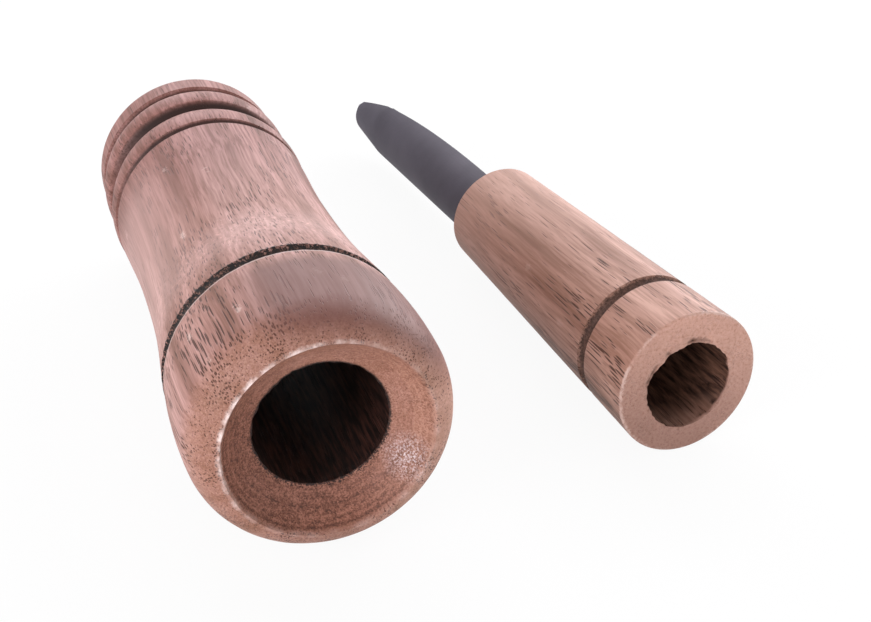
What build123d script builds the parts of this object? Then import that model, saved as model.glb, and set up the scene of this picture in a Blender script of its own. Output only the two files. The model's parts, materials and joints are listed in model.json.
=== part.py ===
# A wooden bird call lying taken apart: a turned barrel, and beside it the tapered insert with its voice.
# Units are mm. Both pieces lie on the floor z = 0. The barrel's mouth faces -Y, and the insert lies at its +X side.
# Stations run along each piece's own axis, from the barrel's lip and from the insert's wide end.
import os
from math import asin, atan, atan2, cos, hypot, radians, sin, sqrt

from build123d import *

# Barrel: the bore, the dished mouth and the bulge round it
bore_diameter = 16.0
barrel_length = 78.4
lip_diameter = 25.0
lip_roll = 5.0
dish_depth = 3.9
dish_hollow = 0.45
bulge_diameter = 31.8
bulge_station = 8.5
bulge_crown = 72.0
# Barrel: the burnt groove, the shoulder behind it, the neck and the waist
burn_station = 17.9
burn_width = 1.9
burn_depth = 1.2
shoulder_diameter = 30.5
neck_station = 31.0
neck_diameter = 27.6
waist_station = 46.5
waist_diameter = 26.3
# Barrel: three grooves and the beads between them
thin_station = 60.2
thin_width = 1.6
thin_depth = 0.9
thin_diameter = 26.9
deep_station = 66.85
deep_width = 2.9
deep_depth = 1.9
deep_floor = 0.6
last_station = 72.9
last_width = 1.8
last_depth = 1.2
bead_diameter = 26.0
bead_swell = 0.36
end_diameter = 25.9
end_round = 2.2
bore_chamfer = 0.4

# Insert: a plain taper with one groove
insert_length = 51.4
wide_diameter = 19.3
narrow_diameter = 14.5
wide_chamfer = 0.35
narrow_chamfer = 0.35
insert_bore_diameter = 11.6
seat_bore_diameter = 12.0
ring_station = 10.6
ring_width = 1.9
ring_depth = 0.9

# Voice: the half-round tone board, the reed on its face and the wedge that holds the reed's tail
slide_clearance = 0.05
seat_length = 20.4
board_length = 41.8
board_diameter = 10.4
face_drop = 0.3
face_straight = 4.0
tip_face_drop = 3.5
tip_thickness = 1.1
tip_width = 5.2
tip_corner = 0.5
taper_length = 8.0
channel_width = 5.0
channel_depth = 2.7
channel_end = 11.0
reed_thickness = 0.4
reed_width = 7.8
reed_tip_width = 3.6
reed_setback = 0.8
reed_tip_gap = 0.7
reed_slit = 0.06
wedge_length = 14.0
wedge_inset = 0.2
nose_radius = 0.8
nose_clearance = 0.02

# Lie on the floor: how the insert lies to the barrel, and how the voice is rolled in the insert
lie_gap = 21.6
lie_forward = 6.8
lie_turn = 6.92
voice_roll = 90.0

bore_r = bore_diameter / 2
lip_r = lip_diameter / 2
bulge_r = bulge_diameter / 2
wide_r = wide_diameter / 2
narrow_r = narrow_diameter / 2
insert_bore_r = insert_bore_diameter / 2
seat_bore_r = seat_bore_diameter / 2
end_station = barrel_length - end_round
end_r = end_diameter / 2
bead_r = bead_diameter / 2
deep_back = deep_station + deep_width / 2
last_front = last_station - last_width / 2

# The barrel rests on its bulge and on the bead between the deep and the last groove. Their round profiles
# have one common tangent, which sets the barrel's tilt and height.
crown_centre = bulge_r - bulge_crown
bead_half = (last_front - deep_back) / 2
bead_crown = (bead_half**2 + bead_swell**2) / (2 * bead_swell)
bead_station = deep_back + bead_half
bead_centre = bead_r + bead_swell - bead_crown
run = bead_station - bulge_station
rise = bead_centre - crown_centre
barrel_tilt = asin((bulge_crown - bead_crown) / hypot(run, rise)) - atan2(rise, run)
barrel_height = bulge_station * sin(barrel_tilt) + crown_centre * cos(barrel_tilt) + bulge_crown
# The insert rests along its taper
taper = (wide_r - narrow_r) / insert_length
insert_tilt = atan(taper)
insert_height = wide_r * cos(insert_tilt)

# The frame's origin is under the middle of the pair
turn = radians(lie_turn)
insert_x = bulge_r + lie_gap + wide_r
root_station = insert_length - seat_length
tip_station = insert_length + board_length
tip_y = lie_forward + tip_station * cos(insert_tilt) * cos(turn)
origin_x = (insert_x + wide_r * cos(turn) - bulge_r) / 2
origin_y = (tip_y - lip_r * sin(barrel_tilt)) / 2

barrel_axis = Vector(0, cos(barrel_tilt), -sin(barrel_tilt))
barrel_base = Vector(-origin_x, -origin_y, barrel_height)
insert_axis = Vector(-sin(turn) * cos(insert_tilt), cos(turn) * cos(insert_tilt), -sin(insert_tilt))
insert_base = Vector(insert_x - origin_x, lie_forward - origin_y, insert_height)
insert_right = Vector(cos(turn), sin(turn), 0)
insert_up = insert_right.cross(insert_axis)
roll = radians(voice_roll)
voice_normal = insert_up * cos(roll) + insert_right * sin(roll)
voice_side = insert_right * cos(roll) - insert_up * sin(roll)

# Planes: x runs along the axis and y across it, so a profile reads as station and radius or height
barrel_plane = Plane(origin=barrel_base, x_dir=barrel_axis, z_dir=Vector(1, 0, 0))
insert_plane = Plane(origin=insert_base, x_dir=insert_axis, z_dir=insert_right)
voice_plane = Plane(origin=insert_base, x_dir=insert_axis, z_dir=voice_side)


def plan_plane(height):
    """A plane that faces the way the reed does, this far above the insert's axis."""
    return Plane(origin=insert_base + voice_normal * height, x_dir=insert_axis, z_dir=voice_normal)


def cross_plane(station):
    """A plane across the insert's axis at this station."""
    return Plane(origin=insert_base + insert_axis * station, x_dir=voice_side, z_dir=insert_axis)


def crown_r(station):
    """Radius of the bulge's round profile at this station."""
    return crown_centre + sqrt(bulge_crown**2 - (station - bulge_station) ** 2)


def taper_r(station):
    """Radius of the insert's taper at this station."""
    return wide_r - taper * station


os.makedirs("parts", exist_ok=True)

burn_front = burn_station - burn_width / 2
burn_back = burn_station + burn_width / 2
thin_front = thin_station - thin_width / 2
thin_back = thin_station + thin_width / 2
deep_front = deep_station - deep_width / 2
last_back = last_station + last_width / 2
thin_r = thin_diameter / 2
dish_mid_s = dish_depth / 2 + dish_hollow * sin(radians(45))
dish_mid_r = (lip_r + bore_r) / 2 + dish_hollow * cos(radians(45))
crown_slope = -(lip_roll - bulge_station) / sqrt(bulge_crown**2 - (lip_roll - bulge_station) ** 2)

# Barrel, turned in one piece with the bore straight through
with BuildPart() as barrel:
    with BuildSketch(barrel_plane):
        with BuildLine():
            Spline(
                (0, lip_r),
                (lip_roll, crown_r(lip_roll)),
                tangents=((1, 1.7), (1, crown_slope)),
            )
            ThreePointArc(
                (lip_roll, crown_r(lip_roll)),
                (bulge_station, bulge_r),
                (burn_front, crown_r(burn_front)),
            )
            Polyline(
                (burn_front, crown_r(burn_front)),
                (burn_station, crown_r(burn_front) - burn_depth),
                (burn_back, shoulder_diameter / 2),
            )
            Spline(
                (burn_back, shoulder_diameter / 2),
                (neck_station, neck_diameter / 2),
                (waist_station, waist_diameter / 2),
                (thin_front, thin_r),
            )
            Polyline(
                (thin_front, thin_r),
                (thin_station, thin_r - thin_depth),
                (thin_back, thin_r),
            )
            ThreePointArc(
                (thin_back, thin_r),
                ((thin_back + deep_front) / 2, (thin_r + bead_r) / 2 + bead_swell),
                (deep_front, bead_r),
            )
            Polyline(
                (deep_front, bead_r),
                (deep_station - deep_floor / 2, bead_r - deep_depth),
                (deep_station + deep_floor / 2, bead_r - deep_depth),
                (deep_back, bead_r),
            )
            ThreePointArc(
                (deep_back, bead_r),
                (bead_station, bead_r + bead_swell),
                (last_front, bead_r),
            )
            Polyline(
                (last_front, bead_r),
                (last_station, bead_r - last_depth),
                (last_back, end_r),
                (end_station, end_r),
            )
            RadiusArc((end_station, end_r), (barrel_length, end_r - end_round), end_round)
            Polyline(
                (barrel_length, end_r - end_round),
                (barrel_length, bore_r + bore_chamfer),
                (barrel_length - bore_chamfer, bore_r),
                (dish_depth, bore_r),
            )
            ThreePointArc(
                (dish_depth, bore_r),
                (dish_mid_s, dish_mid_r),
                (0, lip_r),
            )
        make_face()
    revolve(axis=Axis(barrel_base, barrel_axis))
barrel.part.label = "barrel"
export_step(barrel.part, "parts/barrel.step")

# Insert, a tapered plug with one groove; its bore widens at the narrow end into a seat for the voice
with BuildPart() as insert:
    with BuildSketch(insert_plane):
        with BuildLine():
            Polyline(
                (0, insert_bore_r),
                (0, wide_r - wide_chamfer),
                (wide_chamfer, taper_r(wide_chamfer)),
                (ring_station - ring_width / 2, taper_r(ring_station - ring_width / 2)),
                (ring_station - ring_width / 4, taper_r(ring_station) - ring_depth),
                (ring_station + ring_width / 4, taper_r(ring_station) - ring_depth),
                (ring_station + ring_width / 2, taper_r(ring_station + ring_width / 2)),
                (insert_length - narrow_chamfer, taper_r(insert_length - narrow_chamfer)),
                (insert_length, narrow_r - narrow_chamfer),
                (insert_length, seat_bore_r),
                (root_station, seat_bore_r),
                (root_station, insert_bore_r),
                (0, insert_bore_r),
            )
        make_face()
    revolve(axis=Axis(insert_base, insert_axis))
insert.part.label = "insert"
export_step(insert.part, "parts/insert.step")

# The voice's stations and heights
root_r = seat_bore_r - slide_clearance
board_r = board_diameter / 2
straight_end = insert_length + face_straight
face_h = -face_drop
tip_h = -tip_face_drop
channel_h = -face_drop - channel_depth
channel_tip = tip_station - channel_end
taper_start = tip_station - taper_length
hinge_station = insert_length - wedge_inset - nose_radius
reed_top = face_h + reed_thickness
hinge_h = reed_top + nose_radius + nose_clearance
reed_end = tip_station - reed_setback
fall = tip_face_drop - face_drop
face_curve = ((tip_station - straight_end) ** 2 + fall**2) / (2 * fall)
beyond = 2 * board_r
# The tip's back is a round through its two corners and its thickness
tip_r = ((tip_width / 2) ** 2 + tip_thickness**2) / (2 * tip_thickness)
tip_centre_h = tip_h - tip_thickness + tip_r

# Tone board, half round, with a face that falls away to the tip and an air channel along it
with BuildPart() as tone_board:
    with BuildSketch(cross_plane(root_station)):
        Circle(root_r)
    extrude(amount=seat_length)
    with BuildSketch(cross_plane(insert_length)):
        Circle(board_r)
    extrude(amount=board_length - taper_length)
    with BuildSketch(cross_plane(taper_start)):
        Circle(board_r)
    with BuildSketch(cross_plane(tip_station)):
        with Locations((0, -tip_centre_h)):
            Circle(tip_r)
    loft()
    with BuildSketch(voice_plane):
        with BuildLine():
            Polyline(
                (tip_station, tip_h),
                (tip_station + 1, tip_h),
                (tip_station + 1, beyond),
                (root_station - 1, beyond),
                (root_station - 1, face_h),
                (straight_end, face_h),
            )
            RadiusArc((straight_end, face_h), (tip_station, tip_h), face_curve)
        make_face()
    extrude(amount=beyond, both=True, mode=Mode.SUBTRACT)
    with BuildSketch(plan_plane(channel_h)):
        with BuildLine():
            Polyline(
                (root_station - 1, channel_width / 2),
                (root_station - 1, -channel_width / 2),
                (channel_tip - channel_width / 2, -channel_width / 2),
            )
            RadiusArc(
                (channel_tip - channel_width / 2, -channel_width / 2),
                (channel_tip - channel_width / 2, channel_width / 2),
                -channel_width / 2,
            )
            Line(
                (channel_tip - channel_width / 2, channel_width / 2),
                (root_station - 1, channel_width / 2),
            )
        make_face()
    extrude(amount=channel_depth + 1, mode=Mode.SUBTRACT)
    with BuildSketch(plan_plane(-beyond)):
        with BuildLine():
            Polyline(
                (root_station - 1, beyond),
                (root_station - 1, -beyond),
                (tip_station - 3 * tip_corner, -beyond),
                (tip_station - 3 * tip_corner, -tip_width / 2 - 2 * tip_corner),
                (tip_station, -tip_width / 2 + tip_corner),
                (tip_station, tip_width / 2 - tip_corner),
                (tip_station - 3 * tip_corner, tip_width / 2 + 2 * tip_corner),
                (tip_station - 3 * tip_corner, beyond),
                close=True,
            )
        make_face()
    extrude(amount=2 * beyond, mode=Mode.INTERSECT)
tone_board.part.label = "tone_board"
export_step(tone_board.part, "parts/tone_board.step")

# Wedge, a cork plug over the reed's tail with a round nose that the reed bends about
wedge_front = insert_length - wedge_inset
wedge_back = wedge_front - wedge_length
with BuildPart() as wedge:
    with BuildSketch(cross_plane(wedge_back)):
        Circle(root_r)
    extrude(amount=wedge_length)
    with BuildSketch(voice_plane):
        with BuildLine():
            Polyline(
                (wedge_front, hinge_h),
                (wedge_front + 1, hinge_h),
                (wedge_front + 1, -beyond),
                (wedge_back - 1, -beyond),
                (wedge_back - 1, reed_top),
                (hinge_station, reed_top),
                (hinge_station, hinge_h - nose_radius),
            )
            RadiusArc((hinge_station, hinge_h - nose_radius), (wedge_front, hinge_h), -nose_radius)
        make_face()
    extrude(amount=beyond, both=True, mode=Mode.SUBTRACT)
wedge.part.label = "wedge"
export_step(wedge.part, "parts/wedge.step")

# Reed, a thin strip in two lengths: the tail under the wedge, and the blade that springs open to the tip
reed_tail = wedge_back
with BuildPart() as reed_root:
    with BuildSketch(plan_plane(face_h)):
        with BuildLine():
            Polyline(
                (reed_tail, -reed_width / 2),
                (hinge_station - reed_slit, -reed_width / 2),
                (hinge_station - reed_slit, reed_width / 2),
                (reed_tail, reed_width / 2),
                close=True,
            )
        make_face()
    extrude(amount=reed_thickness)
reed_root.part.label = "reed_root"
export_step(reed_root.part, "parts/reed_root.step")

# The blade keeps the shape of the board's face and stands open by this angle about the wedge's nose
open_angle = atan(reed_tip_gap / (reed_end - hinge_station))
hinge_point = insert_base + insert_axis * hinge_station + voice_normal * hinge_h
blade_axis = insert_axis * cos(open_angle) + voice_normal * sin(open_angle)
blade_normal = voice_normal * cos(open_angle) - insert_axis * sin(open_angle)
blade_plane = Plane(origin=hinge_point, x_dir=blade_axis, z_dir=voice_side)
blade_plan = Plane(origin=hinge_point - blade_normal * beyond, x_dir=blade_axis, z_dir=blade_normal)
under_h = face_h - hinge_h
over_h = under_h + reed_thickness
bend_x = straight_end - hinge_station
tip_x = reed_end - hinge_station
taper_x = taper_start - hinge_station
under_tip = under_h - face_curve + sqrt(face_curve**2 - (tip_x - bend_x) ** 2)
over_curve = face_curve + reed_thickness
over_tip = under_h - face_curve + sqrt(over_curve**2 - (tip_x - bend_x) ** 2)
with BuildPart() as reed_blade:
    with BuildSketch(blade_plane):
        with BuildLine():
            Line((0, under_h), (bend_x, under_h))
            RadiusArc((bend_x, under_h), (tip_x, under_tip), face_curve)
            Line((tip_x, under_tip), (tip_x, over_tip))
            RadiusArc((tip_x, over_tip), (bend_x, over_h), -over_curve)
            Polyline((bend_x, over_h), (0, over_h), (0, under_h))
        make_face()
    extrude(amount=reed_width / 2, both=True)
    with BuildSketch(blade_plan):
        with BuildLine():
            Polyline(
                (-1, reed_width / 2),
                (-1, -reed_width / 2),
                (taper_x, -reed_width / 2),
                (tip_x - tip_corner, -reed_tip_width / 2),
                (tip_x, -reed_tip_width / 2 + tip_corner),
                (tip_x, reed_tip_width / 2 - tip_corner),
                (tip_x - tip_corner, reed_tip_width / 2),
                (taper_x, reed_width / 2),
                close=True,
            )
        make_face()
    extrude(amount=2 * beyond, mode=Mode.INTERSECT)
reed_blade.part.label = "reed_blade"
export_step(reed_blade.part, "parts/reed_blade.step")
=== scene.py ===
# A turned walnut bird call lying taken apart on a white table: barrel, insert, tone board, cork wedge and reed.
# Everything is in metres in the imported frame; sizes written in millimetres are turned to metres with MM.
import json
import math

import bpy
from mathutils import Euler, Matrix, Vector


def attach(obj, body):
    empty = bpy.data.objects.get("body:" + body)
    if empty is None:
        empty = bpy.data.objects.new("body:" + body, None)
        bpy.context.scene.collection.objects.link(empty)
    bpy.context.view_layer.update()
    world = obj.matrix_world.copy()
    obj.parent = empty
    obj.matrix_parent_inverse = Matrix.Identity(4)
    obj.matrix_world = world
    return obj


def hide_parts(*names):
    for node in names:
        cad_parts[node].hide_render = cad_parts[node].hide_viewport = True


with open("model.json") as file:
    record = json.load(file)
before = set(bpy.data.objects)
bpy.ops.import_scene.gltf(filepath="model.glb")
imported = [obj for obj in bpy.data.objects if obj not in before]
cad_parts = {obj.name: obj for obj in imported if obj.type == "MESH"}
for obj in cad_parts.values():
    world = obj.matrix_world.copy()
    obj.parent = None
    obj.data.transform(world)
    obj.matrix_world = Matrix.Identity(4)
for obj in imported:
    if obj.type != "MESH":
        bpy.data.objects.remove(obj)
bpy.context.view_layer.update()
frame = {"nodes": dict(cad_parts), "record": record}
nodes = frame["nodes"]
mounts = {m["name"]: m for m in frame["record"]["mounts"]}

# Barrel: one block of black walnut turned on a lathe, bored through and dished at the mouth.
# A wire burnt the black groove behind the bulge; the three bead grooves at the far end were cut with a skew.
# The mesh is spun from a fine profile, and the bored edge and the burnt groove are roughened.
MM = 0.001
BORE_R = 8.0
BARREL_LENGTH = 78.4
LIP_R = 12.5
LIP_ROLL = 5.0
LIP_BOW = (1.7, 14.75)
DISH_DEPTH = 3.9
DISH_BOW = 0.32
BULGE_R = 15.9
BULGE_STATION = 8.5
BULGE_CROWN = 72.0
BURN_STATION = 17.9
BURN_WIDTH = 1.9
BURN_DEPTH = 1.2
BURN_FLANK = 0.55
BURN_FLANK_DEPTH = 0.75
SHOULDER_R = 15.25
NECK_STATION = 31.0
NECK_R = 13.8
WAIST_STATION = 46.5
WAIST_R = 13.15
THIN_STATION = 60.2
THIN_WIDTH = 1.6
THIN_DEPTH = 0.9
THIN_R = 13.45
DEEP_STATION = 66.85
DEEP_WIDTH = 2.9
DEEP_DEPTH = 1.9
LAST_STATION = 72.9
LAST_WIDTH = 1.8
LAST_DEPTH = 1.2
GROOVE_ROUND = 1.15
BEAD_R = 13.0
BEAD_SWELL = 0.36
END_R = 12.95
END_ROUND = 2.2
BORE_CHAMFER = 0.4
SKIN_R = 12.0
OUTSIDE_R = 10.5
FRAY = 1.1
BARREL_FACETS = 240
WELD = 0.002 * MM
CREASE = 40


def axis_frame(mount, station, way):
    """Matrix of a turned piece from one of its bores: y along the axis from its near end, x level to the right."""
    axis = Vector(mount["axis"]).normalized() * way
    right = axis.cross(Vector((0, 0, 1))).normalized()
    up = right.cross(axis)
    base = Vector(mount["pos_m"]) - axis * station * MM
    placed = Matrix((right, axis, up)).transposed().to_4x4()
    placed.translation = base
    return placed


def smooth_line(points, count):
    """Points of a smooth curve through the given stations and radii, evenly spread between each two."""
    line = []
    for i in range(len(points) - 1):
        p0 = points[max(i - 1, 0)]
        p1, p2 = points[i], points[i + 1]
        p3 = points[min(i + 2, len(points) - 1)]
        m1 = (p2[1] - p0[1]) / (p2[0] - p0[0]) * (p2[0] - p1[0])
        m2 = (p3[1] - p1[1]) / (p3[0] - p1[0]) * (p2[0] - p1[0])
        for k in range(count):
            t = k / count
            r = (2 * t**3 - 3 * t**2 + 1) * p1[1] + (t**3 - 2 * t**2 + t) * m1
            r += (3 * t**2 - 2 * t**3) * p2[1] + (t**3 - t**2) * m2
            line.append((p1[0] + (p2[0] - p1[0]) * t, r))
    return line


def arc_line(start, middle, end, count):
    """Points of a shallow arc from start to end that bows out to the middle point."""
    line = []
    for k in range(count):
        t = k / count
        bow = 4 * t * (1 - t)
        s = start[0] + (end[0] - start[0]) * t + (middle[0] - (start[0] + end[0]) / 2) * bow
        r = start[1] + (end[1] - start[1]) * t + (middle[1] - (start[1] + end[1]) / 2) * bow
        line.append((s, r))
    return line


def groove(station, width, depth, start_r, end_r, count):
    """Points of a soft groove, round at its two sides and at its floor."""
    line = []
    for k in range(count):
        t = k / count
        cut = depth * math.sin(math.pi * t) ** GROOVE_ROUND
        line.append((station + (t - 0.5) * width, start_r + (end_r - start_r) * t - cut))
    return line


def spread(start, end, count):
    """So many numbers, evenly spread from start up to, but not at, end."""
    return [start + (end - start) * k / count for k in range(count)]


def bore_rings(start, gap, count, radius):
    """Points along a straight bore, so many of them, a gap apart from start towards the front."""
    return [(start - k * gap, radius) for k in range(count)]


def crown_r(station):
    """Radius of the bulge at this station."""
    return BULGE_R - BULGE_CROWN + math.sqrt(BULGE_CROWN**2 - (station - BULGE_STATION) ** 2)


def spin_profile(name, profile, steps):
    """A turned piece: a vertex is drawn out along the profile of stations and radii, and the line is spun."""
    bpy.ops.object.select_all(action="DESELECT")
    bpy.ops.mesh.primitive_plane_add(size=MM)
    piece = bpy.context.object
    piece.name = piece.data.name = name
    bpy.ops.object.mode_set(mode="EDIT")
    bpy.ops.mesh.select_all(action="SELECT")
    bpy.ops.mesh.merge(type="CENTER")
    bpy.ops.transform.translate(value=(profile[0][1] * MM, profile[0][0] * MM, 0))
    for (s0, r0), (s1, r1) in zip(profile, profile[1:] + profile[:1]):
        bpy.ops.mesh.extrude_region_move(TRANSFORM_OT_translate={"value": ((r1 - r0) * MM, (s1 - s0) * MM, 0)})
    bpy.ops.mesh.select_all(action="SELECT")
    bpy.ops.mesh.spin(steps=steps, angle=2 * math.pi, center=(0, 0, 0), axis=(0, 1, 0))
    bpy.ops.mesh.select_all(action="SELECT")
    bpy.ops.mesh.remove_doubles(threshold=WELD)
    bpy.ops.mesh.normals_make_consistent(inside=False)
    bpy.ops.object.mode_set(mode="OBJECT")
    return piece


def reshape(piece, name, weight, depth, grain=0.0, way="NORMAL"):
    """Moves the skin of a piece along way as far as weight(station, radius) lets it, evenly or, where a grain is
    given, by a noise of that size in millimetres."""
    group = piece.vertex_groups.new(name=name)
    for v in piece.data.vertices:
        w = weight(v.co.y / MM, math.hypot(v.co.x, v.co.z) / MM)
        if w > 0:
            group.add([v.index], min(w, 1.0), "REPLACE")
    skin = piece.modifiers.new(name, "DISPLACE")
    skin.direction = way
    skin.mid_level = 0.5 if grain else 0.0
    if grain:
        noise = bpy.data.textures.new(name, "CLOUDS")
        noise.noise_scale = grain * MM
        noise.noise_depth = 2
        skin.texture = noise
        skin.texture_coords = "LOCAL"
    skin.vertex_group = name
    skin.strength = depth * MM
    bpy.ops.object.select_all(action="DESELECT")
    piece.select_set(True)
    bpy.context.view_layer.objects.active = piece
    bpy.ops.object.modifier_apply(modifier=name)


def place(piece, matrix):
    """Lays a piece that was made along its own axis into the frame, with its place in its mesh."""
    bpy.ops.object.select_all(action="DESELECT")
    piece.select_set(True)
    bpy.context.view_layer.objects.active = piece
    piece.matrix_world = matrix
    bpy.ops.object.transform_apply(location=True, rotation=True, scale=True)
    bpy.ops.object.shade_smooth_by_angle(angle=math.radians(CREASE))


burn_front = BURN_STATION - BURN_WIDTH / 2
burn_back = BURN_STATION + BURN_WIDTH / 2
thin_front = THIN_STATION - THIN_WIDTH / 2
thin_back = THIN_STATION + THIN_WIDTH / 2
deep_front = DEEP_STATION - DEEP_WIDTH / 2
deep_back = DEEP_STATION + DEEP_WIDTH / 2
last_front = LAST_STATION - LAST_WIDTH / 2
last_back = LAST_STATION + LAST_WIDTH / 2
end_station = BARREL_LENGTH - END_ROUND
burn_edge = crown_r(burn_front)
burn_floor = (BURN_STATION, burn_edge - BURN_DEPTH)
burn_flank = burn_edge - BURN_FLANK_DEPTH
first_bead = ((thin_back + deep_front) / 2, (THIN_R + BEAD_R) / 2 + BEAD_SWELL)
second_bead = ((deep_back + last_front) / 2, BEAD_R + BEAD_SWELL)
waist = [(burn_back, SHOULDER_R), (NECK_STATION, NECK_R), (WAIST_STATION, WAIST_R), (thin_front, THIN_R)]
dish_middle = (DISH_DEPTH / 2 + DISH_BOW, (LIP_R + BORE_R) / 2 + DISH_BOW)
barrel_profile = arc_line((0, LIP_R), LIP_BOW, (LIP_ROLL, crown_r(LIP_ROLL)), 14)
barrel_profile += [(s, crown_r(s)) for s in spread(LIP_ROLL, burn_front, 22)]
barrel_profile += arc_line((burn_front, burn_edge), (BURN_STATION - BURN_FLANK, burn_flank), burn_floor, 7)
barrel_profile += arc_line(burn_floor, (BURN_STATION + BURN_FLANK, burn_flank), (burn_back, SHOULDER_R), 7)
barrel_profile += smooth_line(waist, 14)
barrel_profile += groove(THIN_STATION, THIN_WIDTH, THIN_DEPTH, THIN_R, THIN_R, 12)
barrel_profile += arc_line((thin_back, THIN_R), first_bead, (deep_front, BEAD_R), 10)
barrel_profile += groove(DEEP_STATION, DEEP_WIDTH, DEEP_DEPTH, BEAD_R, BEAD_R, 16)
barrel_profile += arc_line((deep_back, BEAD_R), second_bead, (last_front, BEAD_R), 10)
barrel_profile += groove(LAST_STATION, LAST_WIDTH, LAST_DEPTH, BEAD_R, END_R, 12)
barrel_profile += [(s, END_R) for s in spread(last_back, end_station, 3)]
for k in range(9):
    turn = math.radians(90 * k / 8)
    barrel_profile.append((end_station + END_ROUND * math.sin(turn), END_R - END_ROUND * (1 - math.cos(turn))))
barrel_profile.append((BARREL_LENGTH, BORE_R + BORE_CHAMFER))
barrel_profile += bore_rings(BARREL_LENGTH - BORE_CHAMFER, gap=0.35, count=4, radius=BORE_R)
barrel_profile += bore_rings(76.0, gap=9.6, count=7, radius=BORE_R)
barrel_profile += bore_rings(DISH_DEPTH + 3.2, gap=0.4, count=8, radius=BORE_R)
barrel_profile += arc_line((DISH_DEPTH, BORE_R), dish_middle, (0, LIP_R), 16)

bore_length = mounts["barrel_socket"]["dims"]["length_mm"]
barrel_place = axis_frame(mounts["barrel_socket"], DISH_DEPTH + bore_length / 2, 1)
barrel = spin_profile("barrel_turning", barrel_profile, BARREL_FACETS)


def charred(station, radius):
    """Weight of the scorched skin round the burnt groove."""
    return 1.2 - abs(station - BURN_STATION) / FRAY if radius > SKIN_R else 0


def frayed_mouth(station, radius):
    """Weight of the fibres that the drill tore up where the bore opens into the dish."""
    return 1.0 - math.hypot(station - DISH_DEPTH, radius - BORE_R) / FRAY


def turned_skin(station, radius):
    """Weight of the tool's waver over all but the bore."""
    return 0.5 if radius > BORE_R + 0.5 else 0


reshape(barrel, "burnt", charred, depth=0.40, grain=0.7)
reshape(barrel, "bored", frayed_mouth, depth=0.50, grain=1.1)
reshape(barrel, "turned", turned_skin, depth=0.10, grain=2.6)
place(barrel, barrel_place)
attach(barrel, "barrel")
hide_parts("barrel")


def srgb(code):
    """An sRGB hex colour as the linear RGBA that shader sockets take."""
    parts = [int(code[i : i + 2], 16) / 255 for i in (1, 3, 5)]
    return tuple(c / 12.92 if c <= 0.04045 else ((c + 0.055) / 1.055) ** 2.4 for c in parts) + (1.0,)


def add(tree, kind, links=(), **settings):
    """Adds a node, sets its properties and unlinked sockets, and links its inputs from other sockets.
    A node that is given as a source stands for its first output."""
    node = tree.nodes.new(kind)
    for key, value in settings.items():
        if key == "values":
            for socket, number in value.items():
                node.inputs[socket].default_value = number
        elif key == "stops":
            ramp = node.color_ramp
            while len(ramp.elements) < len(value):
                ramp.elements.new(0.5)
            for element, (spot, colour) in zip(ramp.elements, value):
                element.position = spot
                element.color = colour
        else:
            setattr(node, key, value)
    for socket, source in links:
        start = source.outputs[0] if isinstance(source, bpy.types.Node) else source
        tree.links.new(start, node.inputs[socket])
    return node


def new_finish(name):
    """An empty node material and its tree."""
    material = bpy.data.materials.new(name)
    material.use_nodes = True
    material.node_tree.nodes.clear()
    return material, material.node_tree


def dress(piece, material):
    """Gives a piece this material alone."""
    piece.data.materials.clear()
    piece.data.materials.append(material)


def shade(level):
    """A grey for a ramp that carries a number."""
    return (level, level, level, 1.0)


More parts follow.
